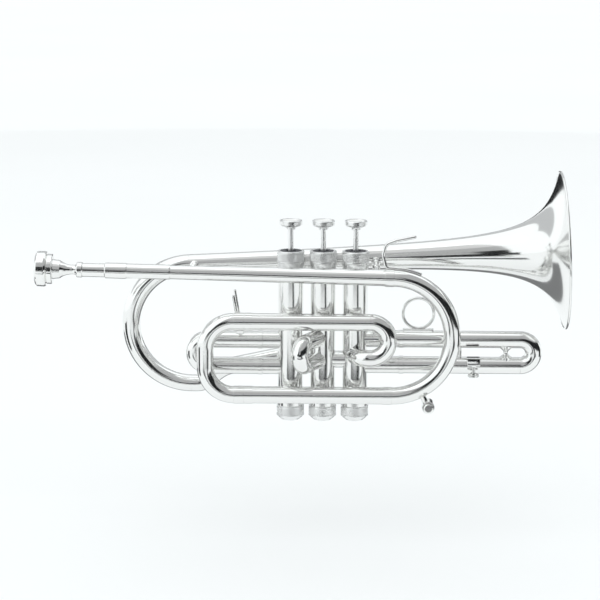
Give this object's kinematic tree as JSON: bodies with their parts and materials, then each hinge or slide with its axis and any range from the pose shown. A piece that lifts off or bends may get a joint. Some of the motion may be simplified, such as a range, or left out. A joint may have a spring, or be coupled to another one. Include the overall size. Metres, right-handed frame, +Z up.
{
  "type": "cornet",
  "caption": "Shepherd's-crook cornet with three sprung piston valves, pull-out tuning and valve slides, mouthpiece, finger ring and hooks.",
  "frame": {"origin": "on the axis of the second valve, halfway up its casing, where the left hand holds the valves", "axes": "+X from the mouthpiece towards the bell, +Y to the player's left, +Z up along the valves"},
  "size_m": [0.3998, 0.1208, 0.189],
  "materials": {
    "silver_plate": "polished silver plate",
    "valve_alloy": "satin",
    "pearl": "pearl, gloss",
    "felt": "felt",
    "spring_steel": "satin",
    "guide_brass": "satin"
  },
  "bodies": {
    "instrument": {"receiver": "silver_plate", "leadpipe": "silver_plate", "front_bow": "silver_plate", "main_tube_ferrules": "silver_plate", "lower_main_tube": "silver_plate", "upper_main_tube": "silver_plate", "inlet_bow": "silver_plate", "bell": "silver_plate", "bell_rim_wire": "silver_plate", "crook": "silver_plate", "bell_tail": "silver_plate", "bell_braces": "silver_plate", "little_finger_hook": "silver_plate", "water_key_body": "silver_plate", "water_key_spring": "spring_steel", "valve_casing_1": "silver_plate", "top_cap_1": "silver_plate", "bottom_cap_1": "silver_plate", "valve_casing_2": "silver_plate", "top_cap_2": "silver_plate", "bottom_cap_2": "silver_plate", "valve_casing_3": "silver_plate", "top_cap_3": "silver_plate", "bottom_cap_3": "silver_plate", "valve_guides": "guide_brass", "cap_felts": "felt", "valve_knuckles": "silver_plate", "casing_braces": "silver_plate", "first_slide_inner_tubes": "silver_plate", "second_slide_tubes": "silver_plate", "third_slide_inner_tubes": "silver_plate"},
    "mouthpiece_unit": {"mouthpiece": "silver_plate"},
    "main_tuning_slide": {"main_slide_legs": "silver_plate", "main_slide_bow": "silver_plate"},
    "first_valve_slide": {"first_slide_legs": "silver_plate", "first_slide_bow": "silver_plate", "thumb_saddle": "silver_plate"},
    "second_valve_slide": {"second_slide": "silver_plate"},
    "third_valve_slide": {"third_slide_legs": "silver_plate", "third_slide_bow": "silver_plate", "finger_ring": "silver_plate", "third_slide_braces": "silver_plate", "lyre_holder": "silver_plate"},
    "lyre_screw_unit": {"lyre_screw": "silver_plate"},
    "water_key_button": {"water_key_plunger": "silver_plate"},
    "valve_1": {"piston_1": "valve_alloy", "valve_spring_1": "spring_steel", "valve_stem_1": "silver_plate", "finger_button_1": "silver_plate", "button_inlay_1": "pearl"},
    "valve_2": {"piston_2": "valve_alloy", "valve_spring_2": "spring_steel", "valve_stem_2": "silver_plate", "finger_button_2": "silver_plate", "button_inlay_2": "pearl"},
    "valve_3": {"piston_3": "valve_alloy", "valve_spring_3": "spring_steel", "valve_stem_3": "silver_plate", "finger_button_3": "silver_plate", "button_inlay_3": "pearl"}
  },
  "joints": [
    {"name": "valve_1_press", "type": "slide", "parent": "instrument", "child": "valve_1", "axis": [0, 0, -1], "range_m": [0, 0.0165], "stiffness_N_per_m": 110, "springref_m": -0.02, "deforming": ["valve_spring_1"]},
    {"name": "valve_2_press", "type": "slide", "parent": "instrument", "child": "valve_2", "axis": [0, 0, -1], "range_m": [0, 0.0165], "stiffness_N_per_m": 110, "springref_m": -0.02, "deforming": ["valve_spring_2"]},
    {"name": "valve_3_press", "type": "slide", "parent": "instrument", "child": "valve_3", "axis": [0, 0, -1], "range_m": [0, 0.0165], "stiffness_N_per_m": 110, "springref_m": -0.02, "deforming": ["valve_spring_3"]},
    {"name": "main_tuning_slide_pull", "type": "slide", "parent": "instrument", "child": "main_tuning_slide", "axis": [-1, 0, 0], "range_m": [0, 0.045]},
    {"name": "first_slide_pull", "type": "slide", "parent": "instrument", "child": "first_valve_slide", "axis": [-1, 0, 0], "range_m": [0, 0.012]},
    {"name": "second_slide_pull", "type": "slide", "parent": "instrument", "child": "second_valve_slide", "axis": [-0.454, -0.891, 0], "range_m": [0, 0.008]},
    {"name": "third_slide_pull", "type": "slide", "parent": "instrument", "child": "third_valve_slide", "axis": [1, 0, 0], "range_m": [0, 0.016]},
    {"name": "mouthpiece_pull", "type": "slide", "parent": "instrument", "child": "mouthpiece_unit", "axis": [-0.9998, 0, 0.0195], "range_m": [0, 0.03]},
    {"name": "lyre_screw_turn", "type": "hinge", "parent": "third_valve_slide", "child": "lyre_screw_unit", "pos_m": [0.1138, -0.011, -0.026], "axis": [0, 0, 1], "range_deg": [-180, 180]},
    {"name": "water_key_press", "type": "slide", "parent": "instrument", "child": "water_key_button", "axis": [0, 1, 0], "range_m": [0, 0.002], "stiffness_N_per_m": 400, "springref_m": -0.003}
  ]
}
